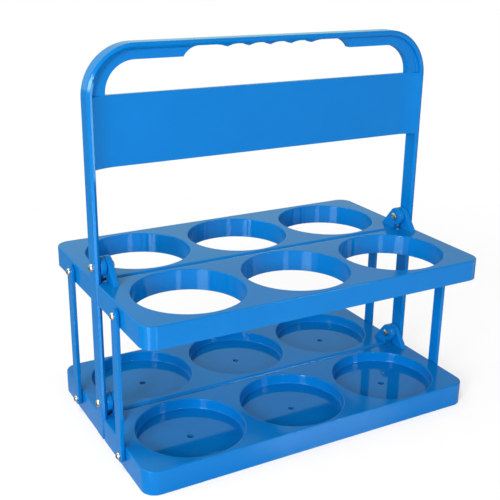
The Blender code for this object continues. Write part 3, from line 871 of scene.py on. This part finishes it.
@dataclass
class HalfTrays:
    """The front and back half trays of one level, from one mould."""

    rows: BottleRows
    level: Level
    skirt: float
    edge_y: float
    has_cups: bool
    plate: float = 2.2 * MM
    wall: float = 2.2 * MM
    corner: float = 12.0 * MM
    corner_facets: int = 14
    edge: float = 1.2 * MM
    edge_facets: int = 4
    centre_edge: float = 3.2 * MM
    centre_facets: int = 6
    hole_edge: float = 1.0 * MM
    collar_wall: float = 2.0 * MM
    cup_depth: float = 9.3 * MM
    cup_floor: float = 2.0 * MM
    cup_floor_edge: float = 1.0 * MM
    lip_facets: int = 5
    lip_rise: float = 0.2 * MM
    drain_radius: float = 2.8 * MM
    drain_facets: int = 32
    rib_thickness: float = 1.6 * MM
    rib_height: float = 8.5 * MM
    end_rib_offset: float = 20.0 * MM
    notch_floor_x: float = 151.3 * MM
    notch_half_width: float = 8.5 * MM
    outer_ear_x: float = 151.27 * MM
    inner_ear_x: float = 145.9 * MM
    ear_radius: float = 8.0 * MM
    ear_thickness: float = 5.0 * MM
    ear_toe: float = 19.5 * MM
    ear_heel: float = 2.5 * MM
    ear_edge: float = 0.8 * MM
    ear_edge_facets: int = 3
    ear_facets: int = 72
    pin_hole_radius: float = 2.8 * MM
    rivet_hole_radius: float = 2.3 * MM
    facets: int = 96
    # Polished cores form what lies this near a hole's wall and this far below its lip, and
    # of it the walls, whose normals have less than this share along Z
    core_margin: float = 0.1 * MM
    core_start: float = 0.5 * MM
    upright: float = 0.5

    @property
    def top_z(self) -> float:
        """Height of the flat top."""
        return self.rows.pivot_z(self.level) - self.rows.pivot_rise

    @property
    def bottom_z(self) -> float:
        """Height of the skirt's lower edge."""
        return self.top_z - self.skirt

    def body(self, name: str, inset: float, low_z: float, high_z: float) -> Piece:
        """Block of the tray with its front corners rounded and its leg notches cut.

        Args:
            name: Name for the block.
            inset: How far it lies inside the tray's outside.
            low_z: Height of its underside.
            high_z: Height of its top.

        Returns:
            The block.
        """
        half = self.rows.half_length - inset
        front = inset - self.edge_y
        back = -self.rows.inner_edge_y - inset
        body = block(name, (-half, front, low_z), (half, back, high_z))
        round_edges(body, edge_at("x", y=front), self.corner - inset, self.corner_facets)
        notches = []
        for low_x, high_x in both_ends(self.notch_floor_x - inset, half + OVERRUN):
            notches.append(block(
                "notch", (low_x, -self.notch_half_width - inset, low_z - OVERRUN),
                (high_x, back + OVERRUN, high_z + OVERRUN),
            ))
        boolean(body, notches, "DIFFERENCE")
        return body

    def shell(self, name: str) -> Piece:
        """Flat top and skirt, with rounded upper edges, open below.

        Args:
            name: Name for the shell.

        Returns:
            The shell.
        """
        top = self.top_z
        on_top = edge_at(z=top)
        rounded_y = self.centre_edge + 2 * self.rows.inner_edge_y
        shell = self.body(name, 0, self.bottom_z, top)
        centre = edge_at(y=-self.rows.inner_edge_y, z=top)
        round_edges(shell, centre, self.centre_edge, self.centre_facets)
        round_edges(
            shell, lambda a, b: on_top(a, b) and not (near(a.y, b.y) and abs(a.y) < rounded_y),
            self.edge, self.edge_facets,
        )
        hollow = self.body("hollow", self.wall, self.bottom_z - OVERRUN, top - self.plate)
        boolean(shell, [hollow], "DIFFERENCE")
        return shell

    def ribs(self) -> list[Piece]:
        """Stiffening ribs under the plate, between the collars and at the ends.

        Returns:
            The ribs, rooted in the plate, the collars and the skirt.
        """
        rows = self.rows
        half = self.rib_thickness / 2
        high = self.top_z - self.plate / 2
        low = self.top_z - self.plate - self.rib_height
        wall_middle = self.wall / 2
        collar = rows.hole_radius + self.collar_wall / 2
        reach = rows.pitch / 2 - rows.hole_radius - self.collar_wall / 2
        start = rows.pitch + math.sqrt(collar ** 2 - self.end_rib_offset ** 2)
        spans = []
        for sign in (-1, 1):
            middle = sign * rows.pitch / 2
            spans.append((middle - half, middle + half, wall_middle - self.edge_y,
                          -rows.inner_edge_y - wall_middle))
            spans.append((middle - reach, middle + reach, -rows.row_y - half, half - rows.row_y))
            low_x, high_x = sorted((sign * start, sign * (rows.half_length - wall_middle)))
            for offset in (-self.end_rib_offset, self.end_rib_offset):
                y = offset - rows.row_y
                spans.append((low_x, high_x, y - half, y + half))
        return [block("rib", (x0, y0, low), (x1, y1, high)) for x0, x1, y0, y1 in spans]

    def ear(self, outer_x: float) -> Piece:
        """Hinge ear: a round eye on a gusset that leans to the front.

        Args:
            outer_x: X of the ear's outer face.

        Returns:
            The ear, standing in the plate.
        """
        root = self.top_z - self.plate / 2
        pivot = self.rows.pivot_z(self.level)
        toe = Vector((-self.ear_toe, self.top_z - pivot))
        tangent_turn = math.atan2(toe.y, toe.x) - math.acos(self.ear_radius / toe.length)
        tangent = Vector((math.cos(tangent_turn), math.sin(tangent_turn))) * self.ear_radius
        foot = tangent + (toe - tangent) * (root - pivot - tangent.y) / (toe.y - tangent.y)
        heel_turn = math.acos(-self.ear_heel / self.ear_radius)
        step = FULL_TURN / self.ear_facets
        first = math.ceil(tangent_turn % FULL_TURN / step) * step
        last = math.floor((FULL_TURN - heel_turn) / step) * step
        inner_x = outer_x - self.ear_thickness
        deselect_all()
        bpy.ops.mesh.primitive_circle_add(vertices=self.ear_facets, radius=self.ear_radius)
        ear = named("ear")

        def turn_of(place: Vector) -> float:
            """Turn of a place round the eye, in the drawing of the ear."""
            return math.atan2(place.y, place.x) % FULL_TURN

        with editing(ear):
            pick(
                ear, Part.VERTICES,
                lambda place: first + step / 2 < turn_of(place) < last - step / 2,
            )
            bpy.ops.mesh.delete(type="VERT")
            for turn, (y, z) in ((first, (foot.x, root)), (last, (-self.ear_heel, root))):
                bpy.ops.mesh.select_all(action="DESELECT")
                pick(ear, Part.VERTICES, lambda place, t=turn: abs(turn_of(place) - t) < step / 2)
                rim_y, rim_z = self.ear_radius * math.cos(turn), self.ear_radius * math.sin(turn)
                bpy.ops.transform.translate(value=(y - rim_y, z - pivot - rim_z, 0))
            bpy.ops.mesh.select_all(action="SELECT")
            bpy.ops.mesh.edge_face_add()
            rise = (0, 0, self.ear_thickness)
            bpy.ops.mesh.extrude_region_move(TRANSFORM_OT_translate={"value": rise})
            bpy.ops.mesh.select_all(action="SELECT")
            bpy.ops.mesh.normals_make_consistent(inside=False)
        shift(ear, Matrix.Translation((inner_x, 0, pivot)) @ ACROSS_X)
        for x in (inner_x, outer_x):
            round_edges(ear, edge_at(x=x), self.ear_edge, self.ear_edge_facets)
        return ear

    def collars(self) -> list[Piece]:
        """Bosses that the holes or the cups are cut from.

        Returns:
            The three bosses, rooted in the plate.
        """
        high = self.top_z - self.plate / 2
        depth = self.cup_depth + self.cup_floor if self.has_cups else self.skirt
        radius = self.rows.hole_radius + self.collar_wall
        span = [(self.top_z - depth, radius), (high, radius)]
        return [turned("collar", span, self.facets, place) for place in self.rows.hole_places()]

    def hole_cutters(self) -> list[Piece]:
        """Cutters of the bottle holes, or of the cups and their drains.

        Returns:
            The cutters.
        """
        radius = self.rows.hole_radius
        lip = arc_steps(self.hole_edge, self.lip_facets)
        edge = [(self.top_z - setback, radius + inset) for inset, setback in lip]
        # The lip runs on past the top in its own slope
        slope = (edge[0][1] - edge[1][1]) / (edge[0][0] - edge[1][0])
        edge[0] = (self.top_z + self.lip_rise, edge[0][1] + self.lip_rise * slope)
        if self.has_cups:
            floor = self.top_z - self.cup_depth
            steps = reversed(arc_steps(self.cup_floor_edge, self.lip_facets))
            profile = edge + [(floor + setback, radius - inset) for inset, setback in steps]
        else:
            profile = edge + [(self.bottom_z - OVERRUN, radius)]
        cutters = []
        for place in self.rows.hole_places():
            cutters.append(turned("hole", profile, self.facets, place))
            if self.has_cups:
                low = self.top_z - self.cup_depth - self.cup_floor - OVERRUN
                high = low + self.cup_floor + 2 * OVERRUN
                drain = [(low, self.drain_radius), (high, self.drain_radius)]
                cutters.append(turned("drain", drain, self.drain_facets, place))
        return cutters

    def pin_holes(self) -> list[Piece]:
        """Cutters of the hinge holes in the ears and of the rivet holes in the end walls.

        Returns:
            The cutters.
        """
        rows = self.rows
        hinge = (self.inner_ear_x - self.ear_thickness - OVERRUN, self.outer_ear_x + OVERRUN)
        wall = (rows.half_length - self.wall - OVERRUN, rows.half_length + OVERRUN)
        cutters = []
        for reach, radius, y, z in (
            (hinge, self.pin_hole_radius, 0, rows.pivot_z(self.level)),
            (wall, self.rivet_hole_radius, -rows.row_y, rows.rivet_z(self.level)),
        ):
            left, right = both_ends(*reach)
            cutters += [pin_hole(radius, *right, y, z), pin_hole(radius, *left, y, z)]
        return cutters

    def in_hole(self, middle: Vector, normal: Vector) -> bool:
        """Whether a face lies in a bottle hole or on a cup's floor, which polished cores form.

        Args:
            middle: Middle of the face.
            normal: Its normal.

        Returns:
            True for such a face.
        """
        row_y = math.copysign(self.rows.row_y, middle.y)
        away = min(math.hypot(middle.x - x, middle.y - row_y) for x in self.rows.hole_centres())
        inside = away < self.rows.hole_radius + self.core_margin
        faces_in = abs(normal.z) < self.upright or self.has_cups and normal.z > 0
        return inside and faces_in and middle.z < self.top_z - self.core_start

    def build(self, finish: Finish, polished: Finish) -> None:
        """Builds the front half tray, then the back one as its copy turned half round.

        Args:
            finish: Plastic of the mouldings.
            polished: The same plastic where polished cores form it.
        """
        word = self.level.word
        tray = self.shell(word + "_front_tray_moulding")
        ears = [self.ear(self.outer_ear_x), self.ear(self.ear_thickness - self.inner_ear_x)]
        boolean(tray, self.collars() + self.ribs() + ears, "UNION")
        boolean(tray, self.hole_cutters() + self.pin_holes(), "DIFFERENCE")
        back = twin(tray, word + "_back_tray_moulding", Matrix.Rotation(HALF_TURN, 4, "Z"))
        for piece, row in ((tray, Row.FRONT), (back, Row.BACK)):
            dress(piece, finish)
            polish(piece, self.in_hole, polished)
            settle(piece, f"{word}_{row.word}_tray", f"{word}_{row.word}_half")


@dataclass
class SideLinks:
    """The four flat bars that keep an upper half tray parallel to the lower one."""

    rows: BottleRows
    inner_x: float = 155.9 * MM
    thickness: float = 3.4 * MM
    width: float = 11.0 * MM
    edge: float = 0.9 * MM
    edge_facets: int = 4
    # The round ends leave a narrow flat between their two halves
    end_flat: float = 0.02 * MM
    end_facets: int = 14
    hole_radius: float = 2.3 * MM

    def bar(self) -> Piece:
        """Bar of the front left corner, with full-round ends and two holes.

        Returns:
            The bar.
        """
        half = self.width / 2
        low = self.rows.rivet_z(Level.LOWER) - half
        high = self.rows.rivet_z(Level.UPPER) + half
        y = -self.rows.row_y
        outer_x = self.inner_x + self.thickness
        bar = block("link", (-outer_x, y - half, low), (-self.inner_x, y + half, high))
        round_edges(bar, edge_at("yz"), half - self.end_flat, self.end_facets)
        soften(bar, self.edge, self.edge_facets)
        holes = []
        for level in Level:
            span = (-outer_x - OVERRUN, OVERRUN - self.inner_x)
            holes.append(pin_hole(self.hole_radius, *span, y, self.rows.rivet_z(level)))
        boolean(bar, holes, "DIFFERENCE")
        return bar

    def build(self, finish: Finish) -> None:
        """Builds the four links from one bar.

        Args:
            finish: Plastic of the bars.
        """
        first = self.bar()
        for row in Row:
            for side in Side:
                name = f"{row.word}_{side.word}_link"
                # The half turn to the right end brings the bar to the back row too
                move = Matrix.Translation((0, (row.value - side.value) * self.rows.row_y, 0))
                bar = twin(first, name + "_bar", move @ side.turn)
                dress(bar, finish)
                settle(bar, name, f"{row.word}_{side.word}_bar")
        discard(first)


@dataclass
class Fasteners:
    """Hinge barrels with their screws, and the link rivets.

    Each is turned for the left end, with its places given as distances from the middle.
    """

    rows: BottleRows
    barrel_seat_x: float = 156.6 * MM
    barrel_end_x: float = 140.9 * MM
    barrel_radius: float = 2.5 * MM
    barrel_bore: float = 1.9 * MM
    barrel_head: float = 3.4 * MM
    barrel_head_height: float = 2.8 * MM
    bore_clearance: float = 2.0 * MM
    screw_seat_x: float = 140.6 * MM
    screw_radius: float = 1.6 * MM
    screw_length: float = 10.0 * MM
    screw_head: float = 3.5 * MM
    screw_head_height: float = 2.8 * MM
    screw_crown: float = 1.2 * MM
    recess_span: float = 3.6 * MM
    recess_slot: float = 0.8 * MM
    recess_depth: float = 1.4 * MM
    rivet_seat_x: float = 159.6 * MM
    rivet_radius: float = 2.0 * MM
    rivet_head: float = 3.2 * MM
    rivet_head_height: float = 2.4 * MM
    rivet_tail_x: float = 153.0 * MM
    rivet_tail: float = 2.9 * MM
    rivet_tail_thickness: float = 0.9 * MM
    rivet_bore: float = 1.1 * MM
    rivet_bore_depth: float = 2.0 * MM
    facets: int = 40
    dome_steps: int = 10
    crown_steps: int = 8

    def headed(self, name: str, seat_x: float, height: float, radius: float, rest: Rings) -> Piece:
        """Pin of the left end, with a dome that sits at seat_x and the rest of its rings."""
        profile = dome(seat_x + height, height, radius, self.dome_steps) + rest
        return turned(name, [(-along, ring) for along, ring in profile], self.facets, ALONG_X)

    def barrel(self) -> Piece:
        """Domed barrel with a blind bore.

        Returns:
            The barrel.
        """
        seat, end, shank = self.barrel_seat_x, self.barrel_end_x, self.barrel_radius
        bore_end = self.screw_seat_x + self.screw_length + self.bore_clearance
        rest = [(seat, shank), (end, shank), (end, self.barrel_bore), (bore_end, self.barrel_bore)]
        return self.headed("barrel", seat, self.barrel_head_height, self.barrel_head, rest)

    def rivet(self) -> Piece:
        """Domed rivet with a flared hollow tail.

        Returns:
            The rivet.
        """
        seat, tail, shank = self.rivet_seat_x, self.rivet_tail_x, self.rivet_radius
        end = tail - self.rivet_tail_thickness
        rest = [(seat, shank), (tail, shank), (tail, self.rivet_tail), (end, self.rivet_tail),
                (end, self.rivet_bore), (end + self.rivet_bore_depth, self.rivet_bore)]
        return self.headed("rivet", seat, self.rivet_head_height, self.rivet_head, rest)

    def screw(self) -> Piece:
        """Pan-head screw with a cross recess.

        Returns:
            The screw.
        """
        seat = -self.screw_seat_x
        tip = seat + self.screw_head_height
        crown = dome(tip, self.screw_crown, self.screw_head, self.crown_steps)
        profile = [(seat - self.screw_length, self.screw_radius), (seat, self.screw_radius),
                   (seat, self.screw_head), (tip - self.screw_crown, self.screw_head)]
        screw = turned("screw", profile + crown[-2::-1], self.facets)
        long_half, short_half = self.recess_span / 2, self.recess_slot / 2
        slots = []
        for half_x, half_y in ((long_half, short_half), (short_half, long_half)):
            slots.append(block("slot", (-half_x, -half_y, tip - self.recess_depth),
                               (half_x, half_y, tip + OVERRUN)))
        boolean(screw, slots, "DIFFERENCE")
        return shift(screw, ALONG_X)

    def build(self, finish: Finish) -> None:
        """Places a barrel and a screw at each hinge and a rivet at each end of each link.

        Args:
            finish: Steel of the fasteners.
        """
        barrel, screw, rivet = self.barrel(), self.screw(), self.rivet()
        for level in Level:
            for side in Side:
                hinge = (0, 0, self.rows.pivot_z(level))
                spots = [(barrel, f"{level.word}_{side.word}_hinge_barrel", "handle", hinge),
                         (screw, f"{level.word}_{side.word}_hinge_screw", "handle", hinge)]
                for row in Row:
                    spots.append((
                        rivet, f"{level.word}_{row.word}_{side.word}_rivet",
                        f"{level.word}_{row.word}_half",
                        (0, row.value * self.rows.row_y, self.rows.rivet_z(level)),
                    ))
                for first, node, body, spot in spots:
                    piece = twin(first, node + "_steel", Matrix.Translation(spot) @ side.turn)
                    dress(piece, finish)
                    settle(piece, node, body)
        for first in (barrel, screw, rivet):
            discard(first)


# Studio


def seen_rays(tree: Tree, path: Node) -> Node:
    """Marks what is looked at straight, in a reflection or through something clear.

    Args:
        tree: Node tree to add to.
        path: Its light path node.

    Returns:
        Node that gives 1 for such rays, and 0 for those that only carry light.
    """
    seen = path.outputs["Is Camera Ray"]
    for ray in ("Is Glossy Ray", "Is Transmission Ray"):
        seen = add_node(tree, "Math", {"operation": "MAXIMUM", 0: seen, 1: path.outputs[ray]})
    return seen


def fade(tree: Tree, along: Socket, span: Span, first: object, second: object) -> Node:
    """Fades from a first colour to a second one over a span of the coordinate along."""
    share = add_node(tree, "MapRange", {"Value": along, "From Min": span[0], "From Max": span[1]})
    return add_node(tree, "Mix", {"data_type": "RGBA", SHARE: share, FIRST: first, SECOND: second})


@dataclass(frozen=True)
class Softbox:
    """A round soft lamp that is turned to the middle of the holder."""

    name: str
    place: Point
    size: float
    power: float
    tint: str = "FFFFFF"


@dataclass
class Studio:
    """Pale floor, soft lights, pale surroundings and the camera."""

    eye: Point = (-0.36005, -0.61512, 0.39635)
    yaw: float = 0.5115
    pitch: float = 0.3443
    roll: float = 0.0138
    lens: float = 62.745
    sensor: float = 36.0
    clip_end: float = 50.0
    floor_half: float = 6.0
    floor_drop: float = 0.2 * MM
    floor_grey: float = 0.86
    floor_glow: float = 0.86
    # Reach of the painted shade where the holder closes the paper in
    shade_reach: float = 0.05
    # Fades of the painted reflections run along Y from the first place to the second
    paper_span: Span = (-0.55, -0.15)
    far_paper: str = "D0D4D8"
    near_paper: str = "F8FFFF"
    # Painted dark reflection beside and behind the holder, where nothing dark stands
    room_span: Span = (-0.08, -0.12)
    room_grey: str = "2A3A40"
    # The floor's shadow fades over this span of distances from the middle
    shadow_span: Span = (0.30, 0.75)
    satin: float = 0.17
    satin_roughness: float = 0.1
    world_strength: float = 0.31
    world_span: Span = (0.2, 0.95)
    dark_side: str = "A4ACB0"
    pale_side: str = "D6FFFA"
    card_blue: str = "98DCFF"
    card_place: Point = (1.28, -0.10, 0.004)
    card_size: Span = (1.4, 0.20)
    card_power: float = 10.0
    middle: Point = (0.0, 0.0, 0.14)
    softboxes: tuple[Softbox, ...] = (
        Softbox("front_left_softbox", (-1.6, -1.15, 0.7), 0.75, 34.0),
        Softbox("front_softbox", (-0.16, -1.04, 0.25), 0.20, 2.1),
        Softbox("front_right_softbox", (0.9, -1.4, 0.9), 0.4, 6.0),
        Softbox("overhead_softbox", (-0.7, 0.3, 1.3), 1.0, 9.0, "FFF8E2"),
    )

    def camera(self) -> None:
        """Camera at the photograph's viewing angle."""
        forward = Vector((
            math.sin(self.yaw) * math.cos(self.pitch),
            math.cos(self.yaw) * math.cos(self.pitch),
            -math.sin(self.pitch),
        ))
        right = Vector((math.cos(self.yaw), -math.sin(self.yaw), 0))
        up = right.cross(forward)
        turned_right = right * math.cos(self.roll) + up * math.sin(self.roll)
        turned_up = up * math.cos(self.roll) - right * math.sin(self.roll)
        data = bpy.data.cameras.new("camera")
        data.lens = self.lens
        data.sensor_width = self.sensor
        data.clip_end = self.clip_end
        camera = bpy.data.objects.new("camera", data)
        bpy.context.scene.collection.objects.link(camera)
        turn = Matrix((turned_right, turned_up, -forward)).transposed().to_4x4()
        camera.matrix_world = Matrix.Translation(self.eye) @ turn
        bpy.context.scene.camera = camera

    def paper(self) -> Finish:
        """Matt sweep paper, rolled smooth, with a faint satin skin, painted reflections and
        painted shade.

        Returns:
            The material, which looks white and even, keeps the holder's shadow and mirrors the
            lamps a little.
        """
        finish = bpy.data.materials.new("pale_sweep_paper")
        finish.use_nodes = True
        tree = finish.node_tree
        tree.nodes.clear()
        grey = (self.floor_grey, self.floor_grey, self.floor_grey, 1.0)
        matt = add_node(tree, "BsdfDiffuse", {"Color": grey, "Roughness": 0.9})
        path = add_node(tree, "LightPath")
        place = add_node(tree, "TexCoord").outputs["Object"]
        depth = add_node(tree, "SeparateXYZ", {0: place}).outputs["Y"]
        # Painted reflection: mirrored in front of the holder, the paper glows white close by and
        # greyer further off
        mirrored = fade(
            tree, depth, self.paper_span, linear(self.far_paper), linear(self.near_paper)
        )
        # Painted dark reflection: beside and behind the holder the paper glows dim grey in
        # reflections, so that the ends keep their blue
        painted_floor_reflection = fade(tree, depth, self.room_span, linear(self.room_grey), mirrored)
        # The camera sees the paper white; reflections show the painted tones
        white_or_painted_reflection = add_node(tree, "Mix", {
            "data_type": "RGBA", SHARE: path.outputs["Is Camera Ray"], FIRST: painted_floor_reflection,
            SECOND: WHITE,
        })
        glow = add_node(tree, "Emission", {"Color": white_or_painted_reflection, "Strength": 1.0})
        # The satin skin mirrors the lamps into the hole walls and the rounded edges
        satin = (self.satin, self.satin, self.satin, 1.0)
        sheen = add_node(tree, "Mix", {
            "data_type": "RGBA", SHARE: path.outputs["Is Glossy Ray"], FIRST: BLACK,
            SECOND: satin,
        })
        mirror = add_node(tree, "BsdfAnisotropic", {
            "Color": sheen, "Roughness": self.satin_roughness,
        })
        shown = add_node(tree, "AddShader", {0: glow, 1: mirror})
        # Painted shade: the glow fades by ambient occlusion where the holder closes the paper in,
        # as under the lower trays
        shade = add_node(tree, "AmbientOcclusion", {"Distance": self.shade_reach})
        seen_outside_painted_shade = add_node(tree, "Math", {
            "operation": "MULTIPLY", 0: seen_rays(tree, path), 1: shade.outputs["AO"],
        })
        # Close by, the paper keeps the holder's shadow; further off it is plain white
        away = add_node(tree, "VectorMath", {"operation": "LENGTH", 0: place})
        glow_share = add_node(tree, "MapRange", {
            "Value": away, "From Min": self.shadow_span[0], "From Max": self.shadow_span[1],
            "To Min": self.floor_glow,
        })
        share = add_node(tree, "Math", {"operation": "MULTIPLY", 0: seen_outside_painted_shade, 1: glow_share})
        mix = add_node(tree, "MixShader", {0: share, 1: matt, 2: shown})
        add_node(tree, "OutputMaterial", {"Surface": mix})
        return finish

    def floor(self) -> None:
        """Pale floor that looks white, keeps a soft shadow of the holder, and has painted shade
        and painted reflections.
        """
        deselect_all()
        bpy.ops.mesh.primitive_plane_add(
            size=2 * self.floor_half, location=(0, 0, -self.floor_drop)
        )
        floor = named("floor")
        floor.data.materials.append(self.paper())

    def surroundings(self) -> None:
        """Surroundings that look white, and are mirrored pale at the back and grey elsewhere."""
        world = bpy.data.worlds.new("studio_world")
        world.use_nodes = True
        tree = world.node_tree
        tree.nodes.clear()
        path = add_node(tree, "LightPath")
        direction = add_node(tree, "TexCoord").outputs["Generated"]
        depth = add_node(tree, "SeparateXYZ", {0: direction}).outputs["Y"]
        sides = linear(self.dark_side), linear(self.pale_side)
        white = add_node(tree, "Mix", {
            "data_type": "RGBA", SHARE: path.outputs["Is Camera Ray"],
            FIRST: fade(tree, depth, self.world_span, *sides), SECOND: WHITE,
        })
        shown = add_node(tree, "Background", {"Color": white, "Strength": 1.0})
        plain = add_node(tree, "Background", {"Color": WHITE, "Strength": self.world_strength})
        mix = add_node(tree, "MixShader", {0: seen_rays(tree, path), 1: plain, 2: shown})
        add_node(tree, "OutputWorld", {"Surface": mix})
        bpy.context.scene.world = world

    def hang(self, name: str, shape: str, power: float, place: Point, tint: str) -> Piece:
        """Hangs a lamp that the camera doesn't see.

        Args:
            name: Name for the lamp.
            shape: Shape of its area.
            power: Power in watts.
            place: Where it hangs, facing down until it is turned.
            tint: Colour of its light.

        Returns:
            The lamp.
        """
        data = bpy.data.lights.new(name, "AREA")
        data.shape = shape
        data.energy = power
        data.color = linear(tint)[:3]
        lamp = bpy.data.objects.new(name, data)
        bpy.context.scene.collection.objects.link(lamp)
        lamp.location = place
        lamp.visible_camera = False
        return lamp

    def lights(self) -> None:
        """Soft lamps round the holder, and a low card for the light line down the legs."""
        for box in self.softboxes:
            lamp = self.hang(box.name, "DISK", box.power, box.place, box.tint)
            lamp.data.size = box.size
            sight = Vector(self.middle) - Vector(box.place)
            lamp.rotation_euler = sight.to_track_quat("-Z", "Y").to_euler()
        # The card lies far to the right, face up, where the rim's slopes mirror it
        card = self.hang(
            "low_card", "RECTANGLE", self.card_power, self.card_place, self.card_blue
        )
        card.data.size, card.data.size_y = self.card_size
        card.rotation_euler = (HALF_TURN, 0, 0)
        card.visible_diffuse = False

    def build(self) -> None:
        """Builds the studio and sets the plain view transform."""
        self.camera()
        self.floor()
        self.surroundings()
        self.lights()
        bpy.context.scene.view_settings.view_transform = "Standard"


def main() -> None:
    logging.basicConfig(level=logging.INFO)
    rows = BottleRows()
    plastic = GlossPolypropylene("moulded_polypropylene", 0.11, 0.16).build()
    polished = GlossPolypropylene("core_polished_polypropylene", 0.04, 0.06).build()
    steel = PlatedSteel().build()
    HandleFrame(rows).build(plastic)
    upper = HalfTrays(rows, Level.UPPER, skirt=18.0 * MM, edge_y=102.5 * MM, has_cups=False)
    upper.build(plastic, polished)
    lower = HalfTrays(rows, Level.LOWER, skirt=20.5 * MM, edge_y=98.85 * MM, has_cups=True)
    lower.build(plastic, polished)
    SideLinks(rows).build(plastic)
    Fasteners(rows).build(steel)
    Studio().build()


if __name__ == "__main__":
    main()
